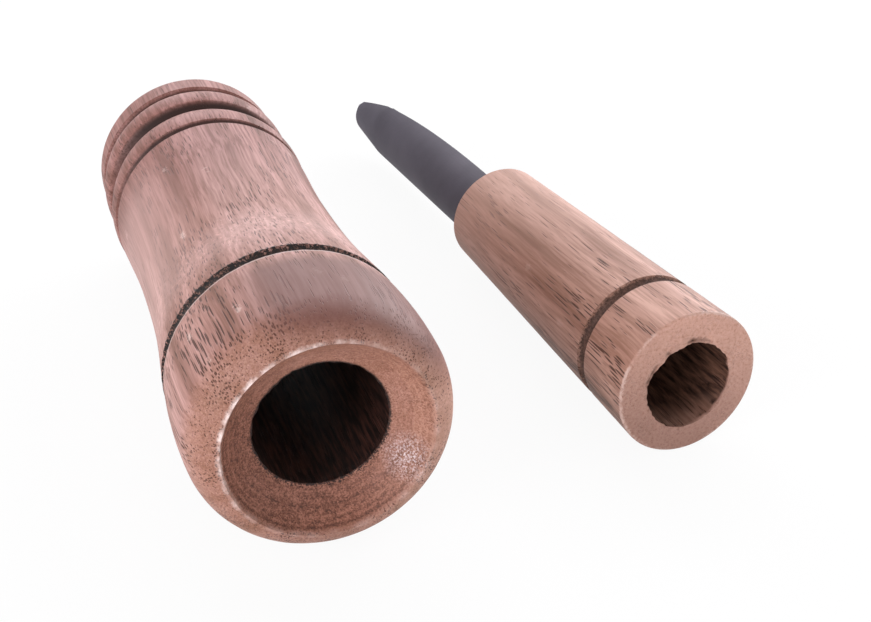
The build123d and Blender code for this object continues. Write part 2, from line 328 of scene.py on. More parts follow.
def walnut(name, matrix, light, middle, dark, streak, pores, run, fade, lift):
    """Oiled black walnut, turned: brown heartwood with darker bands along the grain, short open pores that show as
    dark dashes on the sides and as dots on end grain, a few pale chips, and a soft sheen broken by the pores.
    streak and pores are the strength of the fibre lines and of the pores, run the pores' length in millimetres, fade
    their strength at the far end and lift that of the chips. Returns the material, its tree, and the nodes that a
    piece's own marks are mixed into."""
    material, tree = new_finish(name)
    place_at = add(tree, "ShaderNodeTexCoord")
    local = add(tree, "ShaderNodeMapping", [("Vector", place_at.outputs["Object"])], vector_type="TEXTURE")
    local.inputs["Location"].default_value = matrix.translation
    local.inputs["Rotation"].default_value = matrix.to_euler()
    local.inputs["Scale"].default_value = (MM, MM, MM)
    # The grain wavers by about 0.5 mm over 25 mm of length
    waver = add(tree, "ShaderNodeTexNoise", [("Vector", local)], values={"Scale": 0.04, "Detail": 2.0})
    offset = add(tree, "ShaderNodeVectorMath", [(0, waver.outputs["Color"])], operation="SUBTRACT")
    offset.inputs[1].default_value = (0.5, 0.5, 0.5)
    bent = add(tree, "ShaderNodeVectorMath", [(0, offset), (2, local)], operation="MULTIPLY_ADD")
    bent.inputs[1].default_value = (1.6, 0.0, 1.6)
    # Growth bands about 4 mm wide and 80 mm long
    wide = add(tree, "ShaderNodeMapping", [("Vector", bent)])
    wide.inputs["Scale"].default_value = (0.24, 0.012, 0.24)
    growth = add(
        tree, "ShaderNodeTexNoise", [("Vector", wide)], values={"Scale": 1.0, "Detail": 3.0, "Roughness": 0.55},
    )
    # Fibre lines about 0.35 mm wide and 12 mm long
    fine = add(tree, "ShaderNodeMapping", [("Vector", bent)])
    fine.inputs["Scale"].default_value = (2.8, 0.08, 2.8)
    fibre = add(
        tree, "ShaderNodeTexNoise", [("Vector", fine)], values={"Scale": 1.0, "Detail": 3.0, "Roughness": 0.6},
    )
    # Pores up to 0.2 mm wide and about run mm long, one to a cell, crowded in some bands and few in others
    thin = add(tree, "ShaderNodeMapping", [("Vector", bent)])
    thin.inputs["Scale"].default_value = (3.8, 0.6 / run, 3.8)
    cell = add(tree, "ShaderNodeTexVoronoi", [("Vector", thin)], values={"Scale": 1.0, "Randomness": 1.0})
    crowd_map = add(tree, "ShaderNodeMapping", [("Vector", bent)])
    crowd_map.inputs["Scale"].default_value = (0.30, 0.05, 0.30)
    crowd = add(tree, "ShaderNodeTexNoise", [("Vector", crowd_map)], values={"Scale": 1.0, "Detail": 2.0})
    size = add(
        tree, "ShaderNodeMapRange", [("Value", crowd)],
        values={"From Min": 0.36, "From Max": 0.62, "To Min": 0.10, "To Max": 0.37},
    )
    # They are boldest near the front end, and filled by finish towards the far end
    along = add(tree, "ShaderNodeSeparateXYZ", [("Vector", local)])
    bold = add(
        tree, "ShaderNodeMapRange", [("Value", along.outputs["Y"])],
        values={"From Min": 12.0, "From Max": 28.0, "To Min": 0.07, "To Max": 0.0},
    )
    size = add(tree, "ShaderNodeMath", [(0, size), (1, bold)], operation="ADD")
    filled = add(
        tree, "ShaderNodeMapRange", [("Value", along.outputs["Y"])],
        values={"From Min": 18.0, "From Max": 58.0, "To Min": pores, "To Max": fade},
    )
    inner = add(tree, "ShaderNodeMath", [(0, size), (1, cell)], operation="SUBTRACT")
    dashes = add(tree, "ShaderNodeMath", [(0, inner)], operation="MULTIPLY", use_clamp=True, values={1: 9.0})
    body = add(
        tree, "ShaderNodeValToRGB", [("Fac", growth)],
        stops=[(0.32, srgb(dark)), (0.47, srgb(middle)), (0.64, srgb(light))],
    )
    lines = add(tree, "ShaderNodeValToRGB", [("Fac", fibre)], stops=[(0.36, shade(1.0)), (0.62, shade(0.0))])
    line_share = add(tree, "ShaderNodeMath", [(0, lines)], operation="MULTIPLY", values={1: streak})
    streaked = add(tree, "ShaderNodeMixRGB", [("Fac", line_share), ("Color1", body)], blend_type="MIX")
    streaked.inputs["Color2"].default_value = srgb(dark)
    dash_share = add(tree, "ShaderNodeMath", [(0, dashes), (1, filled)], operation="MULTIPLY")
    pored = add(tree, "ShaderNodeMixRGB", [("Fac", dash_share), ("Color1", streaked)])
    pored.inputs["Color2"].default_value = srgb("#472213")
    # Pale chips where the tool lifted fibre, about 1 mm across and 2 mm long
    chip_map = add(tree, "ShaderNodeMapping", [("Vector", bent)])
    chip_map.inputs["Scale"].default_value = (0.22, 0.12, 0.22)
    chip_cell = add(tree, "ShaderNodeTexVoronoi", [("Vector", chip_map)], values={"Scale": 1.0, "Randomness": 1.0})
    splinter = add(
        tree, "ShaderNodeTexNoise", [("Vector", local)], values={"Scale": 1.3, "Detail": 4.0, "Roughness": 0.75},
    )
    chip = add(tree, "ShaderNodeMath", [(0, splinter), (2, chip_cell)], operation="MULTIPLY_ADD", values={1: 0.5})
    chips = add(
        tree, "ShaderNodeMapRange", [("Value", chip)],
        values={"From Min": 0.29, "From Max": 0.36, "To Min": lift, "To Max": 0.0},
    )
    chipped = add(tree, "ShaderNodeMixRGB", [("Fac", chips), ("Color1", pored)])
    chipped.inputs["Color2"].default_value = srgb("#e0c4ba")
    return material, tree, {"local": local, "colour": chipped, "pores": dashes, "fibre": fibre}


def finish_wood(tree, colour, rough, height, depth):
    """Ends a wood's tree in its shader, with the pores and fibres as a shallow bump."""
    bump = add(tree, "ShaderNodeBump", [("Height", height)], values={"Strength": 0.6, "Distance": depth * MM})
    shader = add(
        tree, "ShaderNodeBsdfPrincipled", [("Base Color", colour), ("Roughness", rough), ("Normal", bump)],
        values={"IOR": 1.5, "Specular IOR Level": 0.35},
    )
    add(tree, "ShaderNodeOutputMaterial", [("Surface", shader)])


def band(tree, value, low, high, soft, raise_by=None):
    """A soft 0 to 1 mask of where value lies between low and high."""
    source = value
    if raise_by is not None:
        source = add(tree, "ShaderNodeMath", [(0, value), (1, raise_by)], operation="ADD")
    up = add(
        tree, "ShaderNodeMapRange", [("Value", source)], values={"From Min": low - soft, "From Max": low + soft},
        interpolation_type="SMOOTHSTEP",
    )
    down = add(
        tree, "ShaderNodeMapRange", [("Value", source)],
        values={"From Min": high - soft, "From Max": high + soft, "To Min": 1.0, "To Max": 0.0},
        interpolation_type="SMOOTHSTEP",
    )
    return add(tree, "ShaderNodeMath", [(0, up), (1, down)], operation="MULTIPLY")


barrel_wood, tree, wood = walnut(
    "oiled_walnut_barrel", barrel_place, "#c4978f", "#aa7c72", "#6c4230", streak=0.60, pores=0.95, run=3.6, fade=0.6,
    lift=0.5,
)
parts = add(tree, "ShaderNodeSeparateXYZ", [("Vector", wood["local"])])
station = parts.outputs["Y"]
flat = add(tree, "ShaderNodeCombineXYZ", [("X", parts.outputs["X"]), ("Y", parts.outputs["Z"])])
radius = add(tree, "ShaderNodeVectorMath", [(0, flat)], operation="LENGTH").outputs["Value"]
outside = add(tree, "ShaderNodeMath", [(0, radius)], operation="GREATER_THAN", values={1: OUTSIDE_R})
# Speckle of 0.4 mm that breaks the edges of the marks, grain of 0.2 mm, pits of 0.7 mm, and fibres drawn out along it
speck = add(
    tree, "ShaderNodeTexNoise", [("Vector", wood["local"])], values={"Scale": 2.6, "Detail": 3.0, "Roughness": 0.7},
)
grain = add(
    tree, "ShaderNodeTexNoise", [("Vector", wood["local"])], values={"Scale": 4.5, "Detail": 3.0, "Roughness": 0.7},
)
pit = add(
    tree, "ShaderNodeTexNoise", [("Vector", wood["local"])], values={"Scale": 1.5, "Detail": 3.0, "Roughness": 0.6},
)
drawn_map = add(tree, "ShaderNodeMapping", [("Vector", wood["local"])])
drawn_map.inputs["Scale"].default_value = (2.6, 0.22, 2.6)
drawn = add(
    tree, "ShaderNodeTexNoise", [("Vector", drawn_map)], values={"Scale": 1.0, "Detail": 3.0, "Roughness": 0.65},
)
# The far half was left a shade darker
far = add(tree, "ShaderNodeMapRange", [("Value", station)], values={"From Min": 34.0, "From Max": 54.0})
far = add(tree, "ShaderNodeMath", [(0, far), (1, outside)], operation="MULTIPLY")
toned = add(tree, "ShaderNodeMixRGB", [("Fac", far), ("Color1", wood["colour"])], blend_type="MULTIPLY")
toned.inputs["Color2"].default_value = srgb("#dfd2d3")
# End grain comes out as a tan ring round the lip, paler at its right
tan_ring = band(tree, station, -3.0, 4.2, 1.8, pit)
tan_ring = add(tree, "ShaderNodeMath", [(0, tan_ring), (1, outside)], operation="MULTIPLY")
open_pores = add(tree, "ShaderNodeMapRange", [("Value", wood["pores"])], values={"To Min": 0.55, "To Max": 0.1})
tan_ring = add(tree, "ShaderNodeMath", [(0, tan_ring), (1, open_pores)], operation="MULTIPLY")
rightward = add(
    tree, "ShaderNodeMapRange", [("Value", parts.outputs["X"])],
    values={"From Min": 3.0, "From Max": 14.0, "To Min": -0.12, "To Max": 0.14},
)
ring_grain = add(tree, "ShaderNodeMath", [(0, grain), (1, rightward)], operation="ADD")
ring_tan = add(
    tree, "ShaderNodeValToRGB", [("Fac", ring_grain)],
    stops=[(0.24, srgb("#7c4e3b")), (0.40, srgb("#a3725b")), (0.66, srgb("#c99c86"))],
)
lipped = add(tree, "ShaderNodeMixRGB", [("Fac", tan_ring), ("Color1", toned), ("Color2", ring_tan)])
# Painted shade darkens the top of the bulge
above = add(tree, "ShaderNodeVectorMath", [(0, wood["local"])], operation="DOT_PRODUCT")
above.inputs[1].default_value = (0.45, 0.0, 0.89)
above = add(
    tree, "ShaderNodeMapRange", [("Value", above.outputs["Value"])],
    values={"From Min": 8.0, "From Max": 13.5, "To Min": 0.0, "To Max": 0.85}, interpolation_type="SMOOTHSTEP",
)
bulge_top_shade = band(tree, station, 0.6, 15.0, 1.6)
bulge_top_shade = add(tree, "ShaderNodeMath", [(0, bulge_top_shade), (1, above)], operation="MULTIPLY")
bulge_top_shaded = add(tree, "ShaderNodeMixRGB", [("Fac", bulge_top_shade), ("Color1", lipped)])
bulge_top_shaded.inputs["Color2"].default_value = srgb("#69413a")
# The dish is end grain, darker on its left and below, partly real stain and partly painted shade, with pale painted
# glints on its lower right
dish = add(tree, "ShaderNodeMapRange", [("Value", radius)], values={"From Min": LIP_R - 0.1, "From Max": LIP_R - 0.5})
mouth = add(tree, "ShaderNodeMath", [(0, station)], operation="LESS_THAN", values={1: DISH_DEPTH + 1.0})
lean = add(tree, "ShaderNodeVectorMath", [(0, wood["local"])], operation="DOT_PRODUCT")
lean.inputs[1].default_value = (0.7, 0.0, 0.7)
# Darker on the left and below, lighter at the right and top: partly stain, partly painted shade
stain_and_shade = add(
    tree, "ShaderNodeMapRange", [("Value", lean.outputs["Value"])],
    values={"From Min": -5.0, "From Max": 6.0, "To Min": 0.88, "To Max": 0.12},
)
dish = add(tree, "ShaderNodeMath", [(0, dish), (1, mouth)], operation="MULTIPLY")
dish_share = add(tree, "ShaderNodeMath", [(0, dish), (1, stain_and_shade)], operation="MULTIPLY")
lathe = add(
    tree, "ShaderNodeTexNoise", [("W", radius)], noise_dimensions="1D",
    values={"Scale": 2.2, "Detail": 3.0, "Roughness": 0.6},
)
mottle = add(tree, "ShaderNodeMath", [(0, pit), (2, grain)], operation="MULTIPLY_ADD", values={1: 0.5})
mottle = add(tree, "ShaderNodeMath", [(0, lathe), (2, mottle)], operation="MULTIPLY_ADD", values={1: 0.35})
mottle = add(tree, "ShaderNodeMath", [(0, mottle)], operation="SUBTRACT", values={1: 0.425})
dish_dark = add(
    tree, "ShaderNodeValToRGB", [("Fac", mottle)],
    stops=[(0.34, srgb("#43261d")), (0.50, srgb("#794939")), (0.66, srgb("#9e6a58"))],
)
tan_share = add(tree, "ShaderNodeMath", [(0, dish)], operation="MULTIPLY", values={1: 0.7})
bare = add(
    tree, "ShaderNodeValToRGB", [("Fac", mottle)],
    stops=[(0.34, srgb("#94624e")), (0.50, srgb("#b07c67")), (0.66, srgb("#c2917d"))],
)
tanned = add(tree, "ShaderNodeMixRGB", [("Fac", tan_share), ("Color1", bulge_top_shaded), ("Color2", bare)])
stained_and_shaded = add(tree, "ShaderNodeMixRGB", [("Fac", dish_share), ("Color1", tanned), ("Color2", dish_dark)])
# Pale specks on the dish's lower right are painted glints of its gloss
glint_at = add(tree, "ShaderNodeVectorMath", [(0, wood["local"])], operation="DISTANCE")
glint_at.inputs[1].default_value = (9.2, 1.6, -5.2)
glint_near = add(
    tree, "ShaderNodeMapRange", [("Value", glint_at.outputs["Value"])],
    values={"From Min": 3.4, "From Max": 0.6, "To Min": 0.0, "To Max": 0.9},
)
glint_bits = add(tree, "ShaderNodeMapRange", [("Value", grain)], values={"From Min": 0.46, "From Max": 0.64})
glint = add(tree, "ShaderNodeMath", [(0, glint_near), (1, glint_bits)], operation="MULTIPLY")
glinted = add(tree, "ShaderNodeMixRGB", [("Fac", glint), ("Color1", stained_and_shaded)])
glinted.inputs["Color2"].default_value = srgb("#e4d6da")
# The lip's edge is worn pale, and painted glints make it brightest at its upper left
outline = add(tree, "ShaderNodeCombineXYZ", [("X", radius), ("Y", station)])
lip_way = add(tree, "ShaderNodeVectorMath", [(0, outline)], operation="DISTANCE")
lip_way.inputs[1].default_value = (LIP_R, 0.0, 0.0)
lip_edge_reach = add(
    tree, "ShaderNodeMath", [(0, speck), (2, lip_way.outputs["Value"])], operation="MULTIPLY_ADD", values={1: -0.8},
)
worn_and_glint = add(
    tree, "ShaderNodeMapRange", [("Value", lip_edge_reach)],
    values={"From Min": -0.25, "From Max": 0.2, "To Min": 0.8, "To Max": 0.0},
)
rubs = add(tree, "ShaderNodeTexNoise", [("Vector", wood["local"])], values={"Scale": 0.5, "Detail": 4.0})
rubbed = add(
    tree, "ShaderNodeMapRange", [("Value", rubs)],
    values={"From Min": 0.42, "From Max": 0.60, "To Min": 0.1, "To Max": 1.0},
)
worn_and_glint = add(tree, "ShaderNodeMath", [(0, worn_and_glint), (1, rubbed)], operation="MULTIPLY")
# Painted highlight: the rim is lifted most at the upper left
glint_side = add(tree, "ShaderNodeVectorMath", [(0, wood["local"])], operation="DOT_PRODUCT")
glint_side.inputs[1].default_value = (-0.8, 0.0, 0.6)
glint_side = add(
    tree, "ShaderNodeMapRange", [("Value", glint_side.outputs["Value"])],
    values={"From Min": 0.0, "From Max": 11.0, "To Min": 0.18, "To Max": 1.2},
)
worn_and_glint = add(tree, "ShaderNodeMath", [(0, worn_and_glint), (1, glint_side)], operation="MULTIPLY", use_clamp=True)
rimmed = add(tree, "ShaderNodeMixRGB", [("Fac", worn_and_glint), ("Color1", glinted)])
rimmed.inputs["Color2"].default_value = srgb("#f0dad4")
# The burnt groove: a clean near edge with a painted highlight along it, a speckled far edge and a charred floor
char_shift = add(
    tree, "ShaderNodeMapRange", [("Value", speck)],
    values={"From Min": 0.3, "From Max": 0.7, "To Min": -0.15, "To Max": 0.7},
)
burn = band(tree, station, burn_front + 0.1, burn_back + 0.35, 0.15, char_shift)
burn = add(tree, "ShaderNodeMath", [(0, burn), (1, outside)], operation="MULTIPLY")
char = add(
    tree, "ShaderNodeValToRGB", [("Fac", speck)],
    stops=[(0.44, srgb("#120a08")), (0.56, srgb("#33201a")), (0.68, srgb("#8a6657"))],
)
burnt = add(tree, "ShaderNodeMixRGB", [("Fac", burn), ("Color1", rimmed), ("Color2", char)])
# A pale line along the near lip is a painted highlight
near_lip_highlight = band(tree, station, burn_front - 0.3, burn_front - 0.05, 0.1)
near_lip_highlight = add(tree, "ShaderNodeMath", [(0, near_lip_highlight), (1, outside)], operation="MULTIPLY")
near_lip_highlight = add(tree, "ShaderNodeMath", [(0, near_lip_highlight)], operation="MULTIPLY", values={1: 0.55})
near_lip_lit = add(tree, "ShaderNodeMixRGB", [("Fac", near_lip_highlight), ("Color1", burnt)])
near_lip_lit.inputs["Color2"].default_value = srgb("#dcbeb6")
# Behind it the chisel tore the grain: pits and pale lifted specks, bleached there; the waist's left side is lightened
# too, as painted light
tear = band(tree, station, 23.0, 31.0, 4.0)
tear = add(tree, "ShaderNodeMath", [(0, tear), (1, outside)], operation="MULTIPLY")
pits = add(
    tree, "ShaderNodeValToRGB", [("Fac", pit)],
    stops=[(0.32, shade(0.34)), (0.42, shade(0.51)), (0.60, shade(0.52)), (0.68, shade(0.70))],
)
bleach_and_light = add(tree, "ShaderNodeMath", [(0, tear)], operation="MULTIPLY", values={1: 0.32})
# Painted light: the left side of the waist is made paler
left_painted_light = add(
    tree, "ShaderNodeMapRange", [("Value", parts.outputs["X"])],
    values={"From Min": -6.0, "From Max": -12.0, "To Min": 0.0, "To Max": 0.4},
)
left_painted_light = add(
    tree, "ShaderNodeMath", [(0, left_painted_light), (1, band(tree, station, 25.0, 56.0, 5.0))], operation="MULTIPLY",
)
bleach_and_light = add(tree, "ShaderNodeMath", [(0, bleach_and_light), (1, left_painted_light)], operation="MAXIMUM")
bleached_and_lit = add(tree, "ShaderNodeMixRGB", [("Fac", bleach_and_light), ("Color1", near_lip_lit)])
bleached_and_lit.inputs["Color2"].default_value = srgb("#cfaba5")
torn = add(tree, "ShaderNodeMixRGB", [("Fac", tear), ("Color1", bleached_and_lit), ("Color2", pits)], blend_type="OVERLAY")
# Painted shade darkens the three bead grooves, most along the top
thin_dark = band(tree, station, THIN_STATION - 0.5, THIN_STATION + 0.70, 0.14)
deep_dark = band(tree, station, DEEP_STATION - 1.1, DEEP_STATION + 1.42, 0.32)
last_dark = band(tree, station, LAST_STATION - 0.5, LAST_STATION + 0.66, 0.16)
shallow = add(tree, "ShaderNodeMath", [(0, thin_dark), (1, last_dark)], operation="MAXIMUM")
shallow = add(tree, "ShaderNodeMath", [(0, shallow)], operation="MULTIPLY", values={1: 0.92})
groove_shade = add(tree, "ShaderNodeMath", [(0, shallow), (1, deep_dark)], operation="MAXIMUM")
shade_toward_top = add(
    tree, "ShaderNodeMapRange", [("Value", parts.outputs["Z"])],
    values={"From Min": 2.0, "From Max": 10.0, "To Min": 0.12, "To Max": 1.0},
)
groove_shade = add(tree, "ShaderNodeMath", [(0, groove_shade), (1, shade_toward_top)], operation="MULTIPLY")
groove_shade = add(tree, "ShaderNodeMath", [(0, groove_shade), (1, outside)], operation="MULTIPLY")
groove_shaded = add(tree, "ShaderNodeMixRGB", [("Fac", groove_shade), ("Color1", torn)])
groove_shaded.inputs["Color2"].default_value = srgb("#2c120b")
# The bore is dark, partly dirty wood and partly painted shade, with streaks along it, and its edge is clean at the top
# and fibrous below
frayed = add(
    tree, "ShaderNodeMapRange", [("Value", parts.outputs["Z"])],
    values={"From Min": 1.0, "From Max": -6.0, "To Min": 0.1, "To Max": 1.0},
)
edge_shift = add(
    tree, "ShaderNodeMapRange", [("Value", grain)],
    values={"From Min": 0.3, "From Max": 0.7, "To Min": -0.5, "To Max": 0.5},
)
edge_at = add(tree, "ShaderNodeMath", [(0, edge_shift), (1, frayed), (2, radius)], operation="MULTIPLY_ADD")
inside = add(
    tree, "ShaderNodeMapRange", [("Value", edge_at)], values={"From Min": BORE_R + 0.35, "From Max": BORE_R + 0.1},
)
hollow = add(tree, "ShaderNodeValToRGB", [("Fac", drawn)], stops=[(0.42, srgb("#110806")), (0.68, srgb("#4a2c24"))])
within = add(tree, "ShaderNodeMath", [(0, radius)], operation="LESS_THAN", values={1: BORE_R + 0.6})
past_dish = add(
    tree, "ShaderNodeMapRange", [("Value", station)],
    values={"From Min": DISH_DEPTH - 0.1, "From Max": DISH_DEPTH + 0.2},
)
past_dish = add(tree, "ShaderNodeMath", [(0, past_dish), (1, within)], operation="MULTIPLY")
inside = add(tree, "ShaderNodeMath", [(0, inside), (1, past_dish)], operation="MAXIMUM")
bored = add(tree, "ShaderNodeMixRGB", [("Fac", inside), ("Color1", groove_shaded), ("Color2", hollow)])
dullness = add(tree, "ShaderNodeMapRange", [("Value", wood["fibre"])], values={"To Min": 0.64, "To Max": 0.44})
relief = add(tree, "ShaderNodeMath", [(0, grain), (1, dish), (2, wood["pores"])], operation="MULTIPLY_ADD")
relief = add(tree, "ShaderNodeMath", [(0, pit), (1, tear), (2, relief)], operation="MULTIPLY_ADD")
finish_wood(tree, bored, dullness, relief, depth=-0.12)
dress(barrel, barrel_wood)

# Insert: a plain tapered walnut plug, bored through, with one groove cut near its wide end.
# Its narrow end pushes into the barrel, and its bore widens there into a seat for the tone board.
# The drill left a ragged edge round the bore in the wide face.
INSERT_LENGTH = 51.4
WIDE_R = 9.65
NARROW_R = 7.25
EDGE = 0.35
INSERT_BORE_R = 5.8
SEAT_R = 6.0
SEAT_LENGTH = 20.4
RING_STATION = 10.6
RING_WIDTH = 1.9
RING_DEPTH = 0.9
RING_FLANK = 0.55
RING_FLANK_DEPTH = 0.62
EDGE_BOW = 0.08
INSERT_SKIN_R = 7.0
INSERT_OUTSIDE_R = 7.2
INSERT_FACETS = 200
TEAR = 1.4


def taper_r(station):
    """Radius of the insert's taper at this station."""
    return WIDE_R + (NARROW_R - WIDE_R) * station / INSERT_LENGTH


ring_front = RING_STATION - RING_WIDTH / 2
ring_back = RING_STATION + RING_WIDTH / 2
seat_start = INSERT_LENGTH - SEAT_LENGTH
narrow_edge = INSERT_LENGTH - EDGE
ring_floor = (RING_STATION, taper_r(RING_STATION) - RING_DEPTH)
ring_flank = taper_r(RING_STATION) - RING_FLANK_DEPTH
insert_profile = [(0, r) for r in spread(INSERT_BORE_R, WIDE_R - EDGE, 10)]
insert_profile += arc_line((0, WIDE_R - EDGE), (EDGE_BOW, WIDE_R - EDGE_BOW), (EDGE, taper_r(EDGE)), 4)
insert_profile += [(s, taper_r(s)) for s in spread(EDGE, ring_front, 12)]
insert_profile += arc_line((ring_front, taper_r(ring_front)), (RING_STATION - RING_FLANK, ring_flank), ring_floor, 5)
insert_profile += arc_line(ring_floor, (RING_STATION + RING_FLANK, ring_flank), (ring_back, taper_r(ring_back)), 5)
insert_profile += [(s, taper_r(s)) for s in spread(ring_back, narrow_edge, 24) + [narrow_edge]]
insert_profile += [(INSERT_LENGTH, NARROW_R - EDGE), (INSERT_LENGTH, SEAT_R)]
insert_profile += [(seat_start, SEAT_R), (seat_start, INSERT_BORE_R)]
insert_profile += bore_rings(seat_start * 5 / 6, gap=seat_start / 6, count=4, radius=INSERT_BORE_R)
insert_profile += bore_rings(4.0, gap=0.4, count=10, radius=INSERT_BORE_R)

exhaust_length = mounts["exhaust_bore"]["dims"]["length_mm"]
insert_place = axis_frame(mounts["exhaust_bore"], exhaust_length / 2, -1)
insert = spin_profile("insert_turning", insert_profile, INSERT_FACETS)


def off_centre(station, radius):
    """Weight of the mouth of the bore and the face round it, where the drill went in off centre."""
    if station < 0.05 or radius < SEAT_R:
        return (1 - station / 10) * (1 - (radius - INSERT_BORE_R) / 3)
    return 0


def bell_mouth(station, radius):
    """Weight of the first 4 mm of the bore, which the drill widened."""
    return 1 - station / 4 if radius < INSERT_BORE_R + 0.05 else 0


def torn_mouth(station, radius):
    """Weight of the fibres torn up round the mouth of the bore."""
    return 1.0 - math.hypot(station, radius - INSERT_BORE_R) / TEAR


def cut_ring(station, radius):
    """Weight of the groove's rough cut."""
    return 0.8 - abs(station - RING_STATION) / 1.2 if radius > INSERT_SKIN_R else 0


def shaved_skin(station, radius):
    """Weight of the tool's waver over the outside."""
    return 0.5 if radius > SEAT_R + 0.8 else 0


reshape(insert, "dropped", off_centre, depth=-0.55, way="Z")
reshape(insert, "moved", off_centre, depth=0.2, way="X")
reshape(insert, "widened", bell_mouth, depth=-0.16)
reshape(insert, "drilled", torn_mouth, depth=0.8, grain=1.2)
reshape(insert, "cut", cut_ring, depth=0.18, grain=0.9)
reshape(insert, "shaved", shaved_skin, depth=0.08, grain=2.4)
place(insert, insert_place)
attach(insert, "insert")
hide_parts("insert")

insert_wood, tree, wood = walnut(
    "oiled_walnut_insert", insert_place, "#c89c8b", "#b08473", "#70462f", streak=0.50, pores=0.9, run=7.0, fade=0.8,
    lift=0.15,
)
parts = add(tree, "ShaderNodeSeparateXYZ", [("Vector", wood["local"])])
flat = add(tree, "ShaderNodeCombineXYZ", [("X", parts.outputs["X"]), ("Y", parts.outputs["Z"])])
radius = add(tree, "ShaderNodeVectorMath", [(0, flat)], operation="LENGTH").outputs["Value"]
speck = add(
    tree, "ShaderNodeTexNoise", [("Vector", wood["local"])], values={"Scale": 2.4, "Detail": 3.0, "Roughness": 0.7},
)
drawn_map = add(tree, "ShaderNodeMapping", [("Vector", wood["local"])])
drawn_map.inputs["Scale"].default_value = (1.8, 0.22, 1.8)
drawn = add(
    tree, "ShaderNodeTexNoise", [("Vector", drawn_map)], values={"Scale": 1.0, "Detail": 3.0, "Roughness": 0.65},
)
# It is darker towards its underside
low_side = add(
    tree, "ShaderNodeMapRange", [("Value", parts.outputs["Z"])], values={"From Min": 6.0, "From Max": -4.0},
)
darker_below = add(tree, "ShaderNodeMixRGB", [("Fac", low_side), ("Color1", wood["colour"])], blend_type="MULTIPLY")
darker_below.inputs["Color2"].default_value = shade(0.66)
# Finish has filled the grain towards its narrow end
fill = add(
    tree, "ShaderNodeMapRange", [("Value", parts.outputs["Y"])],
    values={"From Min": 24.0, "From Max": 46.0, "To Min": 0.0, "To Max": 0.45},
)
filled = add(tree, "ShaderNodeMixRGB", [("Fac", fill), ("Color1", darker_below)])
filled.inputs["Color2"].default_value = srgb("#c39a8a")
# The sawn wide face is end grain and freckled; its lighter top is painted light
lean = add(tree, "ShaderNodeVectorMath", [(0, wood["local"])], operation="DOT_PRODUCT")
lean.inputs[1].default_value = (0.35, 0.0, 0.94)
paler = add(
    tree, "ShaderNodeMapRange", [("Value", lean.outputs["Value"])], values={"From Min": -7.0, "From Max": 8.0},
)
sawn = add(
    tree, "ShaderNodeMapRange", [("Value", parts.outputs["Y"])],
    values={"From Min": 0.35, "From Max": 0.10, "To Min": 0.0, "To Max": 0.85},
)
freckle = add(
    tree, "ShaderNodeValToRGB", [("Fac", speck)],
    stops=[(0.30, srgb("#7d5646")), (0.46, srgb("#9c7568")), (0.70, srgb("#a68174"))],
)
# A lighter copy of the freckled end grain, painted light towards the top
pale = add(
    tree, "ShaderNodeValToRGB", [("Fac", speck)],
    stops=[(0.30, srgb("#a87763")), (0.46, srgb("#c59786")), (0.70, srgb("#cfa496"))],
)
end_grain = add(tree, "ShaderNodeMixRGB", [("Fac", paler), ("Color1", freckle), ("Color2", pale)])
faced = add(tree, "ShaderNodeMixRGB", [("Fac", sawn), ("Color1", filled), ("Color2", end_grain)])
# The groove near the wide end is darker
ring_shift = add(
    tree, "ShaderNodeMapRange", [("Value", speck)],
    values={"From Min": 0.3, "From Max": 0.7, "To Min": -0.15, "To Max": 0.15},
)
ring = band(tree, parts.outputs["Y"], ring_front + 0.1, ring_back - 0.1, 0.15, ring_shift)
shown = add(tree, "ShaderNodeMath", [(0, radius)], operation="GREATER_THAN", values={1: INSERT_OUTSIDE_R})
ring = add(tree, "ShaderNodeMath", [(0, ring), (1, shown)], operation="MULTIPLY")
ring_dark = add(tree, "ShaderNodeValToRGB", [("Fac", speck)], stops=[(0.35, srgb("#3d271f")), (0.65, srgb("#6a4c40"))])
ringed = add(tree, "ShaderNodeMixRGB", [("Fac", ring), ("Color1", faced), ("Color2", ring_dark)])
# The rim of the wide face is chipped pale in places
outline = add(tree, "ShaderNodeCombineXYZ", [("X", radius), ("Y", parts.outputs["Y"])])
rim_way = add(tree, "ShaderNodeVectorMath", [(0, outline)], operation="DISTANCE")
rim_way.inputs[1].default_value = (WIDE_R - 0.1, 0.1, 0.0)
rim_edge = add(
    tree, "ShaderNodeMath", [(0, speck), (2, rim_way.outputs["Value"])], operation="MULTIPLY_ADD", values={1: -1.0},
)
rim_worn = add(
    tree, "ShaderNodeMapRange", [("Value", rim_edge)],
    values={"From Min": -0.45, "From Max": -0.15, "To Min": 0.55, "To Max": 0.0},
)
rubs = add(tree, "ShaderNodeTexNoise", [("Vector", wood["local"])], values={"Scale": 0.3, "Detail": 3.0})
rubbed = add(tree, "ShaderNodeMapRange", [("Value", rubs)], values={"From Min": 0.42, "From Max": 0.60})
rim_worn = add(tree, "ShaderNodeMath", [(0, rim_worn), (1, rubbed)], operation="MULTIPLY")
rimmed = add(tree, "ShaderNodeMixRGB", [("Fac", rim_worn), ("Color1", ringed)])
rimmed.inputs["Color2"].default_value = srgb("#dcc0b6")
